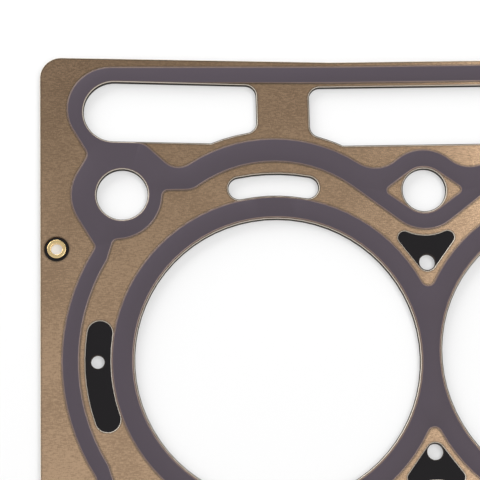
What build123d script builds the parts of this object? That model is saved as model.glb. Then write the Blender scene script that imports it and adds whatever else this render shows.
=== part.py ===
from build123d import *
from math import asin, atan2, cos, hypot, radians, sin, sqrt
import os

os.makedirs("parts", exist_ok=True)

# Multi-layer steel cylinder head gasket for an inline engine, in millimetres.
# The plan is drawn from the line through the bore axes (y = 0) and the middle of
# the engine (x = 0), and moved by plan_y when it is cut from sheet. The origin is
# the centre of the outline, on the surface that the gasket lies on; +X runs along
# the engine, +Y to the side with the ports and +Z towards the cylinder head.
# A sum with bore_r gives a distance from the bore's edge, so that the whole plan
# keeps its clearances when the bore changes.

# ---- Cylinder block layout ----
cylinders = 4
bore_dia = 82.0
bridge_width = 6.0  # metal between two bores
bore_r = bore_dia / 2
bore_pitch = bore_dia + bridge_width
bolt_row = bore_r + 7.8  # head bolt axes to the bore line
bolt_hole_dia = 13.0
dowel_hole_dia = 15.2  # end bolts, which also carry the dowel sleeves

# ---- Layers ----
sheet_t = 0.25  # each beaded layer
spacer_t = 1.10
spacer_step = 0.20  # the spacer reaches this far into every through opening
spacer_edge_step = 0.15  # and stays this far inside the outline
bead_h = 0.20
bead_wall = 0.30  # metal between a bead's side and the hollow under it
bead_rim = 0.12  # bare metal along a bead's edge, beside its coating
coating_t = 0.08
opening_rim = 0.10  # bare metal between the coating and an opening
standing_gap = 0.05  # lower coating to the surface that the eyelets stand on

# ---- Bore beads ----
bore_land = 0.40  # a bore's edge to the coating of its bead
bore_bead_r = bore_r + 6.4
bridge_fillet = 2.0
stopper_gap = 1.1  # bore's edge to the stopper ring
stopper_width = 1.6
stopper_t = 0.12

# ---- Outer bead track ----
end_track_r = bore_r + 20.6  # around the end bores
end_track_width = 4.8
arch_y = 20.0  # centre of the arches over the bores
arch_outer_r = bore_r + 3.8
arch_width = 6.8
valley_fillet = 9.0  # between an arch and the track round a bolt
bolt_track_r = 11.85
bolt_track_shift = 0.2  # outboard of the bolt's axis
eye_r = 6.9  # bare land round each bolt hole
eye_tip_offset = 9.5
eye_tip_r = 1.3
boss_r = 13.2  # solid bead round each end bolt
boss_offset = 1.6
boss_link_y = bolt_row + 1.1  # lower edge of the run from the end arch to the boss
boss_link_width = 5.3
boss_link_fillet = 6.0
plain_link_fillet = 3.0  # above that run, on the side without ports
boss_fillet = 1.8
ankle_y = bolt_row - 15.4  # waist between the end track and the boss
ankle_fillet = 1.6
heel_x = bore_r + 5.45  # where the end track's inner edge meets the boss
heel_rise = 12.6  # below the bolt's axis
heel_y = ankle_y - 3.9  # where that edge leaves its circle
neck_x = bore_r + 12.7  # waist between the boss and the round end of the rim track
neck_y = bolt_row + 12.1
neck_fillet = 2.5
shoulder_x = bore_r - 3.8  # where the boss bead meets the end port's low edge
shoulder_y = bolt_row + 15.0
shoulder_angle = 43.5
shoulder_fillet = 5.5
crest_y = bolt_row + 15.5  # top of the shoulder, along the port
crest_fillet = 5.8
rim_track_y = bore_r + 45.4  # outer edge of the straight track along the ports
rim_track_rise = 0.8  # gained by its round end
rim_track_width = 4.9
rim_end_x = bore_r + 6.2  # round end of that track, beyond the last bore axis
rim_end_r = 12.6

# ---- Outline ----
end_margin = end_track_r + 6.2  # last bore axis to the end edge
port_side_margin = rim_track_y + 1.5  # bore line to the long edge beside the ports
port_side_rise = 2.7  # extra width gained towards each end
rise_start = 18.0  # where that rise begins, inboard of the last bore axis
plain_side_margin = arch_y + arch_outer_r + 3.2
corner_radius = 6.2

# ---- Ports ----
port_end_x = bore_r + 5.1  # round end of the end port, beyond the last bore axis
port_end_y = bore_r + 32.7
port_end_r = 9.1
port_web = 15.3  # metal between two ports
end_web_shift = 3.35  # the outermost web stands this far inboard of its bore axis
port_high_y = rim_track_y - 6.1
port_low_y = bolt_row + 13.5
end_port_high_y = rim_track_y - 5.2  # end port beside its web
end_port_low_y = bolt_row + 14.3
port_arch_gap = 2.3
port_corner_r = 3.4

# ---- Coolant openings ----
slot_r = bore_r + 10.05  # centre line of the curved slots above and below each bore
slot_width = 6.8
slot_half_angle = 11.2
end_slot_r = bore_r + 10.4
end_slot_width = 7.2
end_slot_up_angle = 9.2
end_slot_down_angle = 18.7
end_metering_dia = 3.8
bridge_metering_dia = 4.6
bridge_metering_y = bolt_row - 21.4
pocket_tip_r = 2.6  # three-cornered pocket between two bores
pocket_corner_x = 6.3
pocket_corner_y = bolt_row - 14.1
pocket_corner_r = 1.9
pocket_bolt_gap = 1.7

# ---- Eyelets ----
eyelet_edge_gap = 4.8  # axis to the end edge
eyelet_y = bolt_row - 15.8
corner_eyelet_gap = 5.7  # axis to both edges at a plain corner
eyelet_bore_dia = 3.3
eyelet_barrel_dia = 3.9
eyelet_clearance = 0.05
eyelet_flange_dia = 5.5
eyelet_flange_t = 0.45
eyelet_round = 0.2  # rolled edges of flange and collar
eyelet_collar_dia = 5.2
eyelet_relief_dia = 6.9

# ---- Values that follow ----
bore_xs = [(i - (cylinders - 1) / 2) * bore_pitch for i in range(cylinders)]
bolt_xs = [x + bore_pitch / 2 for x in bore_xs[:-1]]
bolt_track_y = bolt_row + bolt_track_shift
arch_inner_r = arch_outer_r - arch_width
last_x = bore_xs[-1]
boss_x = last_x + bore_pitch / 2
boss_centre_x = boss_x + boss_offset
end_x = last_x + end_margin
top_y = port_side_margin + port_side_rise
rise_slope = port_side_rise / (end_margin + rise_start)
highest_y = top_y - corner_radius * (rise_slope + sqrt(1 + rise_slope**2) - 1)
plan_y = (plain_side_margin - highest_y) / 2
rim_end_y = rim_track_y + rim_track_rise - rim_end_r

z_lower = standing_gap + coating_t + bead_h
z_spacer = z_lower + sheet_t
z_upper = z_spacer + spacer_t
eyelet_grip = spacer_t + sheet_t
eyelet_collar_t = z_lower
eyelet_x = end_x - eyelet_edge_gap
corner_eyelet_x = end_x - corner_eyelet_gap
corner_eyelet_y = corner_eyelet_gap - plain_side_margin


# ---- Drawing helpers ----
def disc(x, y, r):
    return Pos(x, y) * Circle(r)


def shape(points):
    return make_face(Polyline(*points, close=True))


def mirrored(sketch):
    """The sketch and its reflection from one end of the engine to the other."""
    return sketch + mirror(sketch, about=Plane.YZ)


def two_sides(sketch):
    """The sketch and its reflection across the bore line."""
    return sketch + mirror(sketch, about=Plane.XZ)


def rounded(sketch, spots, r, reach=0.5):
    """Round the corners of a sketch that lie at the given spots."""
    chosen = [v for v in sketch.vertices() if any(hypot(v.X - x, v.Y - y) < reach for x, y in spots)]
    return fillet(chosen, r) if chosen else sketch


def crossing(x1, y1, r1, x2, y2, r2):
    """The upper point where two circles cross."""
    d = hypot(x2 - x1, y2 - y1)
    a = (d * d + r1 * r1 - r2 * r2) / (2 * d)
    h = sqrt(r1 * r1 - a * a)
    ux = (x2 - x1) / d
    uy = (y2 - y1) / d
    first = (x1 + a * ux - h * uy, y1 + a * uy + h * ux)
    second = (x1 + a * ux + h * uy, y1 + a * uy - h * ux)
    return max(first, second, key=lambda p: p[1])


def crossed_tangent(r1, dx, dy, r2):
    """Line over a circle at (0, 0) and under one at (dx, dy), as its two ends."""
    turn = atan2(dy, dx) - asin((r1 + r2) / hypot(dx, dy))
    nx = -sin(turn)
    ny = cos(turn)
    return (r1 * nx, r1 * ny), (dx - r2 * nx, dy - r2 * ny)


# ---- Outline ----
def outline(inset=0.0):
    rise_x = last_x - rise_start
    plate = shape(
        [
            (-end_x + inset, -plain_side_margin + inset),
            (end_x - inset, -plain_side_margin + inset),
            (end_x - inset, top_y - inset),
            (rise_x, port_side_margin - inset),
            (-rise_x, port_side_margin - inset),
            (-end_x + inset, top_y - inset),
        ]
    )
    corners = [(s * (end_x - inset), y) for s in (-1, 1) for y in (inset - plain_side_margin, top_y - inset)]
    return rounded(plate, corners, corner_radius - inset)


# ---- Openings, each larger all round by grow ----
def bores(grow=0.0):
    return Sketch() + [disc(x, 0, bore_dia / 2 + grow) for x in bore_xs]


def bolt_holes(grow=0.0):
    inner = [disc(x, s * bolt_row, bolt_hole_dia / 2 + grow) for x in bolt_xs for s in (-1, 1)]
    ends = [disc(t * boss_x, s * bolt_row, dowel_hole_dia / 2 + grow) for t in (-1, 1) for s in (-1, 1)]
    return Sketch() + inner + ends


def end_port(grow=0.0):
    x1 = -last_x - port_end_x
    x2 = -last_x + end_web_shift - port_web / 2 + grow
    high = end_port_high_y + grow
    low = end_port_low_y - grow
    body = shape([(x1, port_end_y + port_end_r + grow), (x2, high), (x2, low), (x1, port_end_y - port_end_r - grow)])
    arch_r = arch_outer_r + port_arch_gap - grow
    port = body + disc(x1, port_end_y, port_end_r + grow)
    port -= disc(-last_x, arch_y, arch_r)
    foot = (x2, arch_y + sqrt(arch_r**2 - (x2 + last_x) ** 2))
    return rounded(port, [(x2, high), foot], port_corner_r + grow)


def inner_port(x1, x2, left_x, right_x, grow=0.0):
    """Port between two webs, standing on the arches over the bores on each side."""
    high = port_high_y + grow
    arch_r = arch_outer_r + port_arch_gap - grow
    port = shape([(x1, port_low_y - grow), (x2, port_low_y - grow), (x2, high), (x1, high)])
    corners = [(x1, high), (x2, high)]
    for side, x in ((x1, left_x), (x2, right_x)):
        port -= disc(x, arch_y, arch_r)
        corners.append((side, arch_y + sqrt(arch_r**2 - (side - x) ** 2)))
    return rounded(port, corners, port_corner_r + grow)


def ports(grow=0.0):
    webs = list(bore_xs)
    webs[0] += end_web_shift
    webs[-1] -= end_web_shift
    every = mirrored(end_port(grow))
    for i in range(cylinders - 1):
        x1 = webs[i] + port_web / 2 - grow
        x2 = webs[i + 1] - port_web / 2 + grow
        every += inner_port(x1, x2, bore_xs[i], bore_xs[i + 1], grow)
    return every


def slots(grow=0.0):
    arcs = [CenterArc((x, 0), slot_r, 90 - slot_half_angle, 2 * slot_half_angle) for x in bore_xs]
    return two_sides(Sketch() + [SlotArc(a, slot_width + 2 * grow) for a in arcs])


def end_slots(grow=0.0):
    start = 180 - end_slot_up_angle
    arc = CenterArc((-last_x, 0), end_slot_r, start, end_slot_up_angle + end_slot_down_angle)
    return mirrored(Sketch() + SlotArc(arc, end_slot_width + 2 * grow))


def pockets():
    corners = disc(-pocket_corner_x, pocket_corner_y, pocket_corner_r)
    corners += disc(pocket_corner_x, pocket_corner_y, pocket_corner_r)
    corners += disc(0, bridge_metering_y, pocket_tip_r)
    pocket = make_hull(corners.edges()) - disc(0, bolt_row, bolt_track_r + pocket_bolt_gap)
    return two_sides(Sketch() + [Pos(x, 0) * pocket for x in bolt_xs])


def metering_holes():
    bridge = [disc(x, s * bridge_metering_y, bridge_metering_dia / 2) for x in bolt_xs for s in (-1, 1)]
    ends = [disc(s * (last_x + end_slot_r), 0, end_metering_dia / 2) for s in (-1, 1)]
    return Sketch() + bridge + ends


def end_eyelets(r):
    return Sketch() + [disc(s * eyelet_x, eyelet_y, r) for s in (-1, 1)]


def corner_eyelets(r):
    return Sketch() + [disc(s * corner_eyelet_x, corner_eyelet_y, r) for s in (-1, 1)]


# ---- Bead tracks as coated, each smaller all round by inset ----
def bore_beads(inset=0.0):
    """Rings round the bores, which run together across the bridges."""
    r = bore_bead_r - inset
    track = Sketch() + [disc(x, 0, r) for x in bore_xs]
    tip_y = sqrt(r**2 - (bore_pitch / 2) ** 2)
    track = rounded(track, [(x, s * tip_y) for x in bolt_xs for s in (-1, 1)], bridge_fillet + inset)
    return track - bores(bore_land + inset)


def arch(x, side, inset=0.0):
    """Half an arch, from above the bore at x to the bolt or boss on one side."""
    outer = arch_outer_r - inset
    inner = arch_inner_r + inset
    bolt_x = bore_pitch / 2
    over = arch_y + outer + 1
    if abs(x + side * bolt_x) < boss_x - 1:
        start, end = crossed_tangent(inner, bolt_x, bolt_track_y - arch_y, bolt_track_r - inset)
        edge = [start, end, (bolt_x, bolt_track_y - arch_y)]
    else:
        low = boss_link_y + inset - arch_y
        edge = [(sqrt(inner**2 - low**2), low), (bolt_x, low)]
    edge = [(x + side * px, arch_y + py) for px, py in edge]
    keep = shape([(x, arch_y)] + edge + [(x + side * bolt_x, over), (x, over)])
    return (disc(x, arch_y, outer) - disc(x, arch_y, inner)) & keep


def eyes(grow=0.0):
    """Bare land round the inner bolt holes, drawn out to a tip on each side."""
    ends = disc(-eye_tip_offset, 0, eye_tip_r + grow) + disc(eye_tip_offset, 0, eye_tip_r + grow)
    eye = make_hull((ends + disc(0, 0, eye_r + grow)).edges())
    return Sketch() + [Pos(x, s * bolt_row) * eye for x in bolt_xs for s in (-1, 1)]


def ankle(inset=0.0):
    """Fills the outer corner between the end track and the boss above it."""
    r = boss_r - inset
    track_r = end_track_r - inset
    lean = radians(30)
    side = (-boss_centre_x - r * cos(lean), bolt_row - r * sin(lean))
    waist = (-last_x - sqrt(track_r**2 - ankle_y**2), ankle_y)
    inner = (-last_x - sqrt((track_r - end_track_width / 2) ** 2 - ankle_y**2), ankle_y)
    return shape([(-boss_centre_x, bolt_row), side, waist, inner])


def neck(inset=0.0):
    """Fills the waist between the boss and the round end of the rim track."""
    r = boss_r - inset
    end_r = rim_end_r - inset
    lean = radians(26)
    low = (-boss_centre_x - r * cos(lean), bolt_row + r * sin(lean))
    high = (-last_x - rim_end_x - end_r * cos(lean), rim_end_y - end_r * sin(lean))
    waist = (-last_x - neck_x + inset, neck_y)
    return shape([(-boss_centre_x, bolt_row), low, waist, high, (-last_x - rim_end_x, rim_end_y)])


def shoulder(inset=0.0):
    """Carries the boss bead up to the end port and down to the end arch.

    Returns the piece and the corner that it makes with the arch."""
    turn = radians(shoulder_angle)
    px = shoulder_x * -1 - last_x - inset * sin(turn)
    py = shoulder_y - inset * cos(turn)
    dx = cos(turn)
    dy = -sin(turn)
    r = arch_outer_r - inset
    b = dx * (px + last_x) + dy * (py - arch_y)
    c = (px + last_x) ** 2 + (py - arch_y) ** 2 - r**2
    t = -b - sqrt(b * b - c)
    corner = (px + t * dx, py + t * dy)
    inside = (corner[0], boss_link_y + inset + boss_link_width / 5)
    rise = (crest_y - inset - py) / dy
    crest = (px + rise * dx, crest_y - inset)
    level = (-last_x - rim_end_x, crest_y - inset)
    piece = shape([(-boss_centre_x, bolt_row), inside, corner, crest, level])
    return rounded(piece, [crest], crest_fillet - inset), corner


def boss_link(inset, top):
    """Run between the foot of the end arch and the boss beside it."""
    low = boss_link_y + inset
    near_x = last_x + sqrt((arch_inner_r + inset) ** 2 - (low - arch_y) ** 2)
    far_x = last_x + sqrt((arch_outer_r - inset) ** 2 - (top - arch_y) ** 2)
    return shape([(-boss_centre_x, low), (-near_x, low), (-far_x, top), (-boss_centre_x, top)])


def rim_track(inset=0.0):
    """Straight run between the ports and the long edge, rising a little to each end."""
    half = [
        (last_x - rise_start, rim_track_y - inset),
        (last_x + rim_end_x, rim_track_y + rim_track_rise - inset),
        (last_x + rim_end_x, rim_track_y + rim_track_rise - rim_track_width + inset),
        (last_x - rise_start, rim_track_y - rim_track_width + inset),
    ]
    return shape(half + [(-x, y) for x, y in reversed(half)])


def side_track(inset=0.0, with_ports=False):
    """Track over the arches and round the bolts along one side of the engine."""
    outer = arch_outer_r - inset
    r = bolt_track_r - inset
    end_r = boss_r - inset
    low = boss_link_y + inset
    top = boss_link_y + boss_link_width - inset
    track = Sketch() + [arch(x, s, inset) for x in bore_xs for s in (-1, 1)]
    track += [disc(x, bolt_track_y, r) for x in bolt_xs]
    vx, vy = crossing(0, arch_y, outer, bore_pitch / 2, bolt_track_y, r)
    valleys = [(x + s * (vx - bore_pitch / 2), vy) for x in bolt_xs for s in (-1, 1)]
    track = rounded(track, valleys, valley_fillet + inset)
    bosses = disc(-boss_centre_x, bolt_row, end_r) + ankle(inset)
    if with_ports:
        piece, corner = shoulder(inset)
        bosses += piece + neck(inset) + disc(-last_x - rim_end_x, rim_end_y, rim_end_r - inset)
        bosses += boss_link(inset, corner[1] - boss_link_width / 4)
        hollows = [corner]
        hollow_r = shoulder_fillet
    else:
        bosses += boss_link(inset, top)
        far_x = last_x + sqrt(outer**2 - (top - arch_y) ** 2)
        near_x = boss_centre_x - sqrt(end_r**2 - (top - bolt_row) ** 2)
        hollows = [(-far_x, top), (-near_x, top)]
        hollow_r = plain_link_fillet
    track += mirrored(bosses)
    track = rounded(track, [(s * x, y) for x, y in hollows for s in (-1, 1)], hollow_r + inset)
    link_x = last_x + sqrt((arch_inner_r + inset) ** 2 - (low - arch_y) ** 2)
    track = rounded(track, [(s * link_x, low) for s in (-1, 1)], boss_link_fillet)
    heel_x = boss_centre_x - sqrt(end_r**2 - (low - bolt_row) ** 2)
    track = rounded(track, [(s * heel_x, low) for s in (-1, 1)], boss_fillet + inset)
    if with_ports:
        track += rim_track(inset)
        waist_x = last_x + neck_x - inset
        track = rounded(track, [(s * waist_x, neck_y) for s in (-1, 1)], neck_fillet + inset)
    return track


def heel(inset=0.0):
    """Bare land where the inner edge of the end track turns up to the boss.

    Returns the piece and the corner that it makes with the boss."""
    inner = end_track_r - end_track_width + inset
    low = (-last_x - sqrt(inner**2 - heel_y**2), heel_y)
    high = (-last_x - heel_x - inset, bolt_row - heel_rise)
    land = shape([low, high, (high[0] + 4.4 + inset, high[1]), (low[0] + 1.6 + inset, low[1])])
    boss_y = bolt_row - boss_r + inset
    share = (boss_y - low[1]) / (high[1] - low[1])
    corner = (low[0] + share * (high[0] - low[0]), boss_y)
    return land - disc(-boss_centre_x, bolt_row, boss_r - inset), corner


def outer_beads(inset=0.0):
    """One closed track round both bolt rows, the ends and the ports."""
    outer = end_track_r - inset
    inner = end_track_r - end_track_width + inset
    keep = Pos(-last_x - end_track_r / 2, 0) * Rectangle(end_track_r, 2 * (bolt_row - boss_r / 2))
    ring = (disc(-last_x, 0, outer) - disc(-last_x, 0, inner)) & keep
    track = side_track(inset, True) + mirror(side_track(inset), about=Plane.XZ) + mirrored(ring)
    land, corner = heel(inset)
    track -= mirrored(two_sides(land))
    corners = [(s * corner[0], t * corner[1]) for s in (-1, 1) for t in (-1, 1)]
    track = rounded(track, corners, boss_fillet + inset)
    waist = last_x + sqrt(outer**2 - ankle_y**2)
    track = rounded(track, [(s * waist, t * ankle_y) for s in (-1, 1) for t in (-1, 1)], ankle_fillet + inset)
    return track - eyes(inset)


# ---- Layers ----
def through_openings(grow=0.0):
    return bores(grow) + bolt_holes(grow) + ports(grow) + slots(grow)


def stand(sketch, z, height):
    """Cut a plan from stock of the given height, with its underside at z."""
    return extrude(Pos(0, plan_y, z) * sketch, height)


def beaded_layer(z, relief, joined):
    """Spring steel layer, flat side at z, with its beads pressed upwards."""
    cuts = through_openings() + end_slots() + pockets() + relief(eyelet_relief_dia / 2)
    cuts += joined(eyelet_barrel_dia / 2 + eyelet_clearance)
    flat = outline() - cuts
    beads = bore_beads(-bead_rim) + outer_beads(-bead_rim) - cuts
    hollow_inset = bead_wall - bead_rim
    hollows = bore_beads(hollow_inset) + outer_beads(hollow_inset)
    layer = stand(flat, z, sheet_t) + stand(beads, z + sheet_t, bead_h)
    return layer - stand(hollows, z, bead_h)


def coating(track, z):
    """Printed elastomer on top of a bead."""
    return stand(track() - through_openings(opening_rim) - end_slots(opening_rim), z, coating_t)


def turned_over(solid):
    """The piece for the underside, mirrored about the middle of the spacer."""
    return mirror(solid, about=Plane.XY.offset(z_spacer + spacer_t / 2))


def eyelet(x, y, z):
    """Hollow brass eyelet: flange on top, barrel down through the grip, rolled collar."""
    bore = eyelet_bore_dia / 2
    barrel = eyelet_barrel_dia / 2
    flange = eyelet_flange_dia / 2
    collar = eyelet_collar_dia / 2
    bottom = -eyelet_grip - eyelet_collar_t
    section = shape(
        [
            (bore, bottom),
            (bore, eyelet_flange_t),
            (flange, eyelet_flange_t),
            (flange, 0),
            (barrel, 0),
            (barrel, -eyelet_grip),
            (collar, -eyelet_grip),
            (collar, bottom),
        ]
    )
    rims = [(bore, eyelet_flange_t), (flange, eyelet_flange_t), (bore, bottom), (collar, bottom)]
    section = rounded(section, rims, eyelet_round, 0.01)
    return Pos(x, y + plan_y, z) * revolve(Plane.XZ * section, Axis.Z)


parts = {}
parts["upper_beaded_layer"] = beaded_layer(z_upper, end_eyelets, corner_eyelets)
parts["lower_beaded_layer"] = turned_over(beaded_layer(z_upper, corner_eyelets, end_eyelets))

spacer_plan = outline(spacer_edge_step) - through_openings(-spacer_step) - metering_holes()
spacer_plan -= end_eyelets(eyelet_barrel_dia / 2 + eyelet_clearance)
spacer_plan -= corner_eyelets(eyelet_barrel_dia / 2 + eyelet_clearance)
parts["spacer_layer"] = stand(spacer_plan, z_spacer, spacer_t)

z_bead_top = z_upper + sheet_t + bead_h
parts["upper_bore_coating"] = coating(bore_beads, z_bead_top)
parts["upper_outer_coating"] = coating(outer_beads, z_bead_top)
parts["lower_bore_coating"] = turned_over(coating(bore_beads, z_bead_top))
parts["lower_outer_coating"] = turned_over(coating(outer_beads, z_bead_top))

stopper_r = bore_dia / 2 + stopper_gap
for i, x in enumerate(bore_xs):
    ring = disc(x, 0, stopper_r + stopper_width) - disc(x, 0, stopper_r)
    parts[f"stopper_ring_{i + 1}"] = stand(ring, z_upper, stopper_t)

for side, s in (("left", -1), ("right", 1)):
    parts[f"end_eyelet_{side}"] = eyelet(s * eyelet_x, eyelet_y, z_upper)
    parts[f"corner_eyelet_{side}"] = eyelet(s * corner_eyelet_x, corner_eyelet_y, z_upper + sheet_t)

for name, solid in parts.items():
    export_step(solid, f"parts/{name}.step")
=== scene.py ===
from collections import defaultdict
from math import radians

import bpy
from mathutils import Matrix, Vector
from mathutils.bvhtree import BVHTree


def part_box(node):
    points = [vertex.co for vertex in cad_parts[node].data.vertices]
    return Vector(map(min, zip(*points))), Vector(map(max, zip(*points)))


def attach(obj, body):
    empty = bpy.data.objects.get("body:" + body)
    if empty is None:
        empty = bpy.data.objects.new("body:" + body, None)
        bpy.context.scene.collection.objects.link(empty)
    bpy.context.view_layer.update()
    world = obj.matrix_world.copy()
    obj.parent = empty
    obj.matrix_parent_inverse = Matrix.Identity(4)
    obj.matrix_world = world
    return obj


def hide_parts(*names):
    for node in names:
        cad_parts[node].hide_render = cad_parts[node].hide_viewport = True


# The scene is in metres, in the row frame. It dresses the gasket's solids, leans
# the upright sides of its beads, sheets and coatings, and lays it on a white floor.

MM = 0.001

# ---- Camera: an unshifted view of the -X +Y corner, from nearly above ----
CAMERA_PLACE = (-0.16094, -0.08374, 0.53172)
CAMERA_TURN = (-0.200512, 0.030941, 0.022813)  # about X, Y and Z, in radians
CAMERA_CLIP = (0.01, 20.0)
SENSOR_WIDTH = 36.0
FOCAL_LENGTH = 140.25

# ---- Leaning sides ----
SHEET = 0.25 * MM  # thickness of the beaded layers
CROWN_IN = 0.10 * MM  # a bead's side leans in at its crown
EDGE_IN = 0.18 * MM  # a sheared edge leans back from its opening
DRAWN_IN = 0.25 * MM  # a coating's top draws in
BARED = 0.15 * MM  # at an opening, a coating stops short
SPREAD = 0.14 * MM  # elsewhere it spreads over the bead's side
SAG = 0.10 * MM  # and sags there
BESIDE = 0.3 * MM  # a coating's point this near a sheared edge is at an opening
EYELET_SHADE = 4.0 * MM  # round an eyelet, the sheet's edges keep the steel and its painted shade this far, not the pale cut edge
SAME_PLACE = 1e-6
UPRIGHT = 0.1  # a wall's normal has no more than this share upwards
SMOOTH_BELOW = radians(25)

# ---- Colours, linear ----
STEEL = (0.475, 0.312, 0.184, 1.0)
STEEL_DARK = (0.33, 0.208, 0.116, 1.0)
# painted shade for the steel's edges and the folds at its beads' feet
STEEL_PAINTED_SHADE = (0.14, 0.095, 0.055, 1.0)
# bare steel of the sheared edges, painted pale and matt as a highlight on their rounding
BARE_CUT_EDGE_AND_HIGHLIGHT = (0.74, 0.67, 0.58, 1.0)
COATING = (0.072, 0.060, 0.075, 1.0)
# painted highlight for the coating's sloping edges
COATING_EDGE_HIGHLIGHT = (0.14, 0.097, 0.09, 1.0)
COATING_SHINE = (1.0, 0.82, 0.76, 1.0)
BLACK = (0.014, 0.013, 0.014, 1.0)
# painted shade: a brown rim on the spacer, the colour of steel in shade
SPACER_RIM_SHADE = (0.09, 0.065, 0.045, 1.0)
BARE_STEEL = (0.55, 0.53, 0.50, 1.0)
BRASS = (0.88, 0.66, 0.33, 1.0)
FLOOR = (0.80, 0.80, 0.80, 1.0)
FLOOR_SEEN = (0.85, 0.85, 0.85, 1.0)
WHITE = (1.0, 1.0, 1.0, 1.0)

# ---- Tinted steel: two crossed grains and soft smudges; scales are per metre ----
GLOSS_ROUGHNESS = 0.19
ALONG_SCALE = 4000.0
ALONG_STRETCH = (0.2, 1.0, 1.0)
ACROSS_SCALE = 3600.0
ACROSS_STRETCH = (1.0, 0.35, 1.0)
ACROSS_SHARE = 0.4
SMUDGE_SCALE = 60.0
SMUDGE_SHARE = 0.2
GRAIN_SPAN = (0.44, 0.56)  # noise at which the steel is darkest and lightest
GRAIN_BUMP = 0.05
GRAIN_DEPTH = 0.05 * MM
# painted shade along the steel's edges and in the folds at its beads' feet, within this reach
PAINTED_SHADE_REACH = 0.9 * MM
PAINTED_SHADE_TURN = 0.97  # the painted shade is darkest where rounding turns the normal this far

# ---- Coatings ----
FLAT_SPAN = (0.96, 0.99)  # upward share of the normal, from a coating's edge to its top
EDGE_SPECULAR, TOP_SPECULAR = 1.0, 0.2
EDGE_ROUGHNESS, TOP_ROUGHNESS = 0.35, 0.5
COATING_SCALE = 3000.0
COATING_BUMP = 0.15
COATING_DEPTH = 0.02 * MM
# painted shade along the edges of the spacer's flat faces, within this reach
RIM_SHADE_REACH = 0.35 * MM
RIM_SHADE_TURN = 0.9
FACE_SPAN = (0.5, 0.9)  # upward share of the normal, from the spacer's walls to its faces

# ---- Studio: a low soft box behind the gasket's corner, a strip overhead on the
# +X side, and a sky that is dim behind the gasket and brighter in front of it ----
KEY_PLACE = (-0.75, 0.95, 0.45)
KEY_SIZE = (2.4, 0.8)
KEY_POWER = 23.0
STRIP_PLACE = (0.40, 0.20, 1.20)
STRIP_TARGET = (0.40, 0.20, 0.0)
STRIP_SIZE = (0.45, 1.6)
STRIP_POWER = 7.6
SKY_BRIGHT = 0.95
SKY_DIM = 0.155
SKY_TURN = (0.02, 0.40)  # share towards +Y, from bright to dim
SKY_LOW = 0.25  # the share of its brightness that it keeps at the horizon
SKY_HIGH_FROM = 0.9  # upward share from which it has all its brightness
FLOOR_HALF = 3.0
FLOOR_GLOW = 0.32  # the share of the floor's white that shadows leave
GLOW_SPAN = (0.25, 0.80)  # distance from the origin over which it rises to all
CORNER = (-0.12, 0.03, 0.0)


class Tree:
    """A node tree, with inputs given as values or as other nodes' outputs."""

    def __init__(self, tree):
        self.tree = tree

    def feed(self, target, value):
        if isinstance(value, bpy.types.NodeSocket):
            self.tree.links.new(value, target)
        else:
            target.default_value = value

    def node(self, kind, **inputs):
        node = self.tree.nodes.new(kind)
        for name, value in inputs.items():
            self.feed(node.inputs[name.replace("_", " ")], value)
        return node

    def math(self, kind, operation, *values):
        node = self.node(kind)
        node.operation = operation
        for target, value in zip(node.inputs, values):
            self.feed(target, value)
        return node.outputs["Value"]

    def remap(self, value, span, low=0.0, high=1.0, curve="LINEAR"):
        """From low to high while the value goes over a span."""
        node = self.node("ShaderNodeMapRange", Value=value, To_Min=low, To_Max=high)
        node.inputs["From Min"].default_value, node.inputs["From Max"].default_value = span
        node.interpolation_type = curve
        return node.outputs["Result"]

    def mix(self, share, first, second):
        node = self.node("ShaderNodeMix", Factor=share)
        self.feed(node.inputs[2], first)
        self.feed(node.inputs[3], second)
        return node.outputs[0]

    def mix_colours(self, share, first, second):
        node = self.node("ShaderNodeMix")
        node.data_type = "RGBA"
        for number, value in ((0, share), (6, first), (7, second)):
            self.feed(node.inputs[number], value)
        return node.outputs[2]

    def mix_shaders(self, share, first, second):
        node = self.node("ShaderNodeMixShader", Fac=share)
        self.feed(node.inputs[1], first)
        self.feed(node.inputs[2], second)
        return node.outputs["Shader"]


class Surface(Tree):
    """A material built around one Principled shader."""

    def __init__(self, name, colour, metallic=0.0, roughness=0.5, specular=0.5):
        self.material = bpy.data.materials.new(name)
        self.material.use_nodes = True
        super().__init__(self.material.node_tree)
        self.shader = self.tree.nodes["Principled BSDF"]
        self.set(
            Base_Color=colour,
            Metallic=metallic,
            Roughness=roughness,
            Specular_IOR_Level=specular,
        )

    def set(self, **inputs):
        for name, value in inputs.items():
            self.feed(self.shader.inputs[name.replace("_", " ")], value)

    def noise(self, scale, stretch=(1.0, 1.0, 1.0), detail=2.0):
        """Noise in the row frame, drawn out along the axes with a small stretch."""
        place = self.node("ShaderNodeTexCoord").outputs["Object"]
        mapping = self.node("ShaderNodeMapping", Vector=place, Scale=stretch)
        noise = self.node(
            "ShaderNodeTexNoise", Vector=mapping.outputs["Vector"], Scale=scale, Detail=detail
        )
        return noise.outputs["Fac"]

    def away_from_edges(self, reach, turn):
        """1 on open faces, falling to 0 at the edges and folds within reach."""
        rounded = self.node("ShaderNodeBevel", Radius=reach).outputs["Normal"]
        normal = self.node("ShaderNodeNewGeometry").outputs["True Normal"]
        match = self.math("ShaderNodeVectorMath", "DOT_PRODUCT", rounded, normal)
        return self.remap(match, (turn, 1.0))

    def flatness(self, span):
        """0 where a face stands upright, 1 where it lies flat."""
        normal = self.node("ShaderNodeNewGeometry").outputs["True Normal"]
        split = self.node("ShaderNodeSeparateXYZ", Vector=normal)
        return self.remap(self.math("ShaderNodeMath", "ABSOLUTE", split.outputs["Z"]), span)

    def ramp(self, value, span, dark, light):
        node = self.node("ShaderNodeValToRGB", Fac=value)
        for stop, place, colour in zip(node.color_ramp.elements, span, (dark, light)):
            stop.position, stop.color = place, colour
        return node.outputs["Color"]

    def bump(self, height, strength, depth):
        node = self.node("ShaderNodeBump", Height=height, Strength=strength, Distance=depth)
        self.set(Normal=node.outputs["Normal"])


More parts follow.
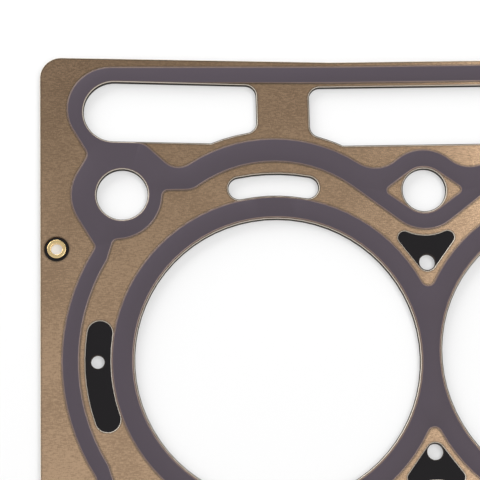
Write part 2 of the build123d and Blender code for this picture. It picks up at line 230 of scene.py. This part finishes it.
def beaded_steel():
    """Tinted sheet with a woven-looking grain, under a clear gloss, with painted shade at its
    edges and folds.
    """
    steel = Surface("beaded_steel", STEEL, metallic=0.9, roughness=GLOSS_ROUGHNESS)
    steel.set(Coat_Weight=1.0, Coat_Roughness=GLOSS_ROUGHNESS)
    along = steel.noise(ALONG_SCALE, ALONG_STRETCH)
    across = steel.noise(ACROSS_SCALE, ACROSS_STRETCH)
    smudge = steel.noise(SMUDGE_SCALE, detail=3.0)
    grain = steel.mix(SMUDGE_SHARE, steel.mix(ACROSS_SHARE, along, across), smudge)
    colour = steel.ramp(grain, GRAIN_SPAN, STEEL_DARK, STEEL)
    # painted shade: the colour darkens at the sheet's edges and at the folds of its beads' feet
    unshaded = steel.away_from_edges(PAINTED_SHADE_REACH, PAINTED_SHADE_TURN)
    steel.set(Base_Color=steel.mix_colours(unshaded, STEEL_PAINTED_SHADE, colour))
    steel.bump(along, GRAIN_BUMP, GRAIN_DEPTH)
    return steel.material


# bare steel of a sheared edge, with a painted highlight: pale and matt
def sheared_edge_and_highlight():
    return Surface("sheared_edge_and_highlight", BARE_CUT_EDGE_AND_HIGHLIGHT, metallic=0.3, specular=0.1).material


def elastomer():
    """Matt coating, thinner and glossier where its edges slope, and painted lighter there as a
    highlight.
    """
    coating = Surface("elastomer", COATING)
    flat = coating.flatness(FLAT_SPAN)
    coating.set(
        # painted highlight: the colour is lighter where the coating's edges slope
        Base_Color=coating.mix_colours(flat, COATING_EDGE_HIGHLIGHT, COATING),
        Specular_IOR_Level=coating.remap(flat, (0.0, 1.0), EDGE_SPECULAR, TOP_SPECULAR),
        Roughness=coating.remap(flat, (0.0, 1.0), EDGE_ROUGHNESS, TOP_ROUGHNESS),
        Specular_Tint=COATING_SHINE,
    )
    coating.bump(coating.noise(COATING_SCALE), COATING_BUMP, COATING_DEPTH)
    return coating.material


def black_coating():
    """Black, with painted shade along the edges of its flat faces: a brown rim the colour of
    steel in shade.
    """
    coating = Surface("spacer", BLACK, specular=0.04)
    # painted shade: a brown rim along the edges of the flat faces
    unshaded = coating.away_from_edges(RIM_SHADE_REACH, RIM_SHADE_TURN)
    face = coating.mix_colours(unshaded, SPACER_RIM_SHADE, BLACK)
    coating.set(Base_Color=coating.mix_colours(coating.flatness(FACE_SPAN), BLACK, face))
    return coating.material


def bare_steel():
    return Surface("stopper", BARE_STEEL, metallic=1.0, roughness=0.35).material


def brass():
    return Surface("eyelet", BRASS, metallic=1.0, roughness=0.2).material


def named(word):
    """The frame's pieces with a word in their names."""
    return [piece for name, piece in node.items() if word in name]


def dress(pieces, material):
    for piece in pieces:
        if not piece.data.materials:
            piece.data.materials.append(material)
        piece.data.materials[0] = material


class Shell:
    """A solid's mesh with its points merged, to be built again with some points moved."""

    def __init__(self, solid):
        self.name = solid.name
        found = {}
        index = []
        for vertex in solid.data.vertices:
            place = tuple(round(c / SAME_PLACE) for c in vertex.co)
            index.append(found.setdefault(place, len(found)))
        self.heights = [z for _, _, z in found]  # in whole steps of SAME_PLACE
        self.points = [Vector(place) * SAME_PLACE for place in found]
        self.faces = []
        for polygon in solid.data.polygons:
            corners = [index[i] for i in polygon.vertices]
            if len(set(corners)) == len(corners):
                self.faces.append(corners)

    def walls(self, low, high):
        """The upright faces between two heights: their numbers, and the way each faces."""
        wanted = {round(low / SAME_PLACE), round(high / SAME_PLACE)}
        for number, corners in enumerate(self.faces):
            if {self.heights[i] for i in corners} == wanted:
                a, b, c = (self.points[i] for i in corners[:3])
                normal = (b - a).cross(c - a).normalized()
                if abs(normal.z) < UPRIGHT:
                    yield number, normal

    def facing(self, low, high):
        """The way the walls between two heights face, at each of their points."""
        outward = defaultdict(Vector)
        for number, normal in self.walls(low, high):
            for i in self.faces[number]:
                outward[i] += normal
        return {i: Vector((n.x, n.y, 0.0)).normalized() for i, n in outward.items()}

    def is_at(self, i, height):
        return abs(self.points[i].z - height) < SAME_PLACE

    def piece(self, points, slot):
        """The piece that takes the solid's place, with its points where they are given."""
        mesh = bpy.data.meshes.new(self.name + "_leaning")
        mesh.from_pydata(points, [], self.faces)
        mesh.shade_smooth()
        mesh.set_sharp_from_angle(angle=SMOOTH_BELOW)
        piece = bpy.data.objects.new(self.name + "_leaning", mesh)
        bpy.context.scene.collection.objects.link(piece)
        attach(piece, "root")
        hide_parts(self.name)
        return piece


def leaning_layer(name, flat_side, crown, steel, sheared):
    """Lean a beaded layer's bead sides and sheared edges. Returns where the edges are.

    A sheared edge runs up from the flat side, or from the ceiling of an open bead.
    """
    layer = Shell(node[name])
    sheet = SHEET if crown > flat_side else -SHEET
    foot, ceiling = flat_side + sheet, crown - sheet
    points = [p.copy() for p in layer.points]
    edges = {}
    walls = []
    for low, high in ((flat_side, foot), (ceiling, crown)):
        facing = layer.facing(low, high)
        edges.update({i: way for i, way in facing.items() if layer.is_at(i, high)})
        walls += [number for number, _ in layer.walls(low, high)]
    for i, outward in layer.facing(foot, crown).items():
        if i not in edges and layer.is_at(i, crown):
            points[i] -= outward * CROWN_IN
    for i, outward in edges.items():
        points[i] -= outward * EDGE_IN
    piece = layer.piece(points, "beaded_steel")
    piece.data.materials.append(steel)
    piece.data.materials.append(sheared)
    # walls near an eyelet keep the steel and its painted shade, to darken the sheet round the
    # eyelet
    eyelets = [sum(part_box(eyelet), Vector()) / 2 for eyelet in node if "eyelet" in eyelet]
    for number in walls:
        place = layer.points[layer.faces[number][0]]
        if all((place - eyelet).length > EYELET_SHADE for eyelet in eyelets):
            piece.data.polygons[number].material_index = 1
    return BVHTree.FromPolygons(layer.points, [layer.faces[number] for number in walls])


def leaning_coating(name, foot, crown, edges, material):
    """Lean a coating's sides, and spread it over the bead's side where no edge is near."""
    coating = Shell(node[name])
    points = [p.copy() for p in coating.points]
    sag = Vector((0.0, 0.0, SAG if foot > crown else -SAG))
    for i, outward in coating.facing(foot, crown).items():
        if coating.is_at(i, crown):
            points[i] -= outward * DRAWN_IN
        elif edges.find_nearest(points[i], BESIDE)[0] is None:
            points[i] += outward * SPREAD + sag
        else:
            points[i] -= outward * BARED
    coating.piece(points, "elastomer").data.materials.append(material)


def outermost(name):
    """The height at which a piece ends, on its side of the spacer."""
    low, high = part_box(name)
    return high.z if name.startswith("upper") else low.z


def lean_both_sides(steel, sheared, coated):
    """Lean the beaded layers, and then the two coatings on each of them."""
    spacer_low, spacer_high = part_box("spacer_layer")
    edges = {}
    for side, flat_side in (("upper", spacer_high.z), ("lower", spacer_low.z)):
        layer = side + "_beaded_layer"
        edges[side] = leaning_layer(layer, flat_side, outermost(layer), steel, sheared)
    for side in edges:
        crown = outermost(side + "_beaded_layer")
        for track in ("bore", "outer"):
            coating = f"{side}_{track}_coating"
            leaning_coating(coating, crown, outermost(coating), edges[side], coated)


def floor_material():
    """White to the eye and in reflections, with the gasket's shadow; pale to other light."""
    material = bpy.data.materials.new("floor")
    material.use_nodes = True
    floor = Tree(material.node_tree)
    floor.tree.nodes.clear()
    place = floor.node("ShaderNodeTexCoord").outputs["Object"]
    distance = floor.math("ShaderNodeVectorMath", "LENGTH", place)
    white = floor.mix_shaders(
        floor.remap(distance, GLOW_SPAN, FLOOR_GLOW),
        floor.node("ShaderNodeBsdfDiffuse", Color=FLOOR_SEEN).outputs["BSDF"],
        floor.node("ShaderNodeEmission").outputs["Emission"],
    )
    pale = floor.node("ShaderNodeBsdfDiffuse", Color=FLOOR).outputs["BSDF"]
    path = floor.node("ShaderNodeLightPath").outputs
    seen = floor.math("ShaderNodeMath", "MAXIMUM", path["Is Camera Ray"], path["Is Glossy Ray"])
    floor.node("ShaderNodeOutputMaterial", Surface=floor.mix_shaders(seen, pale, white))
    return material


def add_floor():
    mesh = bpy.data.meshes.new("floor")
    signs = ((-1, -1), (1, -1), (1, 1), (-1, 1))
    corners = [(x * FLOOR_HALF, y * FLOOR_HALF, 0.0) for x, y in signs]
    mesh.from_pydata(corners, [], [(0, 1, 2, 3)])
    mesh.materials.append(floor_material())
    floor = bpy.data.objects.new("floor", mesh)
    bpy.context.scene.collection.objects.link(floor)


def add_soft_box(name, place, target, size, power):
    light = bpy.data.lights.new(name, "AREA")
    light.shape = "RECTANGLE"
    light.size, light.size_y = size
    light.energy = power
    lamp = bpy.data.objects.new(name, light)
    lamp.location = place
    aim = Vector(target) - Vector(place)
    lamp.rotation_euler = aim.to_track_quat("-Z", "Y").to_euler()
    bpy.context.scene.collection.objects.link(lamp)


def add_sky():
    """Soft light all round, dimmer towards +Y and the horizon. The camera sees it as white."""
    world = bpy.data.worlds.new("sky")
    bpy.context.scene.world = world
    world.use_nodes = True
    sky = Tree(world.node_tree)
    place = sky.node("ShaderNodeTexCoord").outputs["Generated"]
    way = sky.node("ShaderNodeSeparateXYZ", Vector=place).outputs
    strength = sky.remap(way["Y"], SKY_TURN, SKY_BRIGHT, SKY_DIM, "SMOOTHSTEP")
    lift = sky.remap(way["Z"], (0.0, SKY_HIGH_FROM), SKY_LOW)
    level = sky.math("ShaderNodeMath", "MULTIPLY", strength, lift)
    seen = sky.node("ShaderNodeLightPath").outputs["Is Camera Ray"]
    background = sky.tree.nodes["Background"]
    sky.feed(background.inputs["Color"], WHITE)
    sky.feed(background.inputs["Strength"], sky.mix(seen, level, 1.0))


def add_camera():
    turn = Matrix.Identity(3)
    for angle, axis in zip(CAMERA_TURN, "XYZ"):
        turn = turn @ Matrix.Rotation(angle, 3, axis)
    lens = bpy.data.cameras.new("camera")
    lens.sensor_width = SENSOR_WIDTH
    lens.lens = FOCAL_LENGTH
    lens.clip_start, lens.clip_end = CAMERA_CLIP
    camera = bpy.data.objects.new("camera", lens)
    camera.matrix_world = Matrix.Translation(CAMERA_PLACE) @ turn.transposed().to_4x4()
    bpy.context.scene.collection.objects.link(camera)
    bpy.context.scene.camera = camera


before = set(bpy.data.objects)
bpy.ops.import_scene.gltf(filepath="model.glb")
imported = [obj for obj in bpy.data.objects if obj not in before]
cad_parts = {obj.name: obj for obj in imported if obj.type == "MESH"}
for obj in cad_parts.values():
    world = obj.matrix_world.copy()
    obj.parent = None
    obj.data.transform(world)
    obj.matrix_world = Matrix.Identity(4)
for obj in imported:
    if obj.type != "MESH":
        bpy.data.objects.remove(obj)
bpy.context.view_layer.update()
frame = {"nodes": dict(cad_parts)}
node = frame["nodes"]

steel, coated = beaded_steel(), elastomer()
dress(named("beaded_layer"), steel)
dress(named("coating"), coated)
dress(named("spacer"), black_coating())
dress(named("stopper"), bare_steel())
dress(named("eyelet"), brass())

lean_both_sides(steel, sheared_edge_and_highlight(), coated)

add_floor()
add_soft_box("key", KEY_PLACE, CORNER, KEY_SIZE, KEY_POWER)
add_soft_box("strip", STRIP_PLACE, STRIP_TARGET, STRIP_SIZE, STRIP_POWER)
add_sky()
add_camera()

bpy.context.scene.view_settings.view_transform = "Standard"
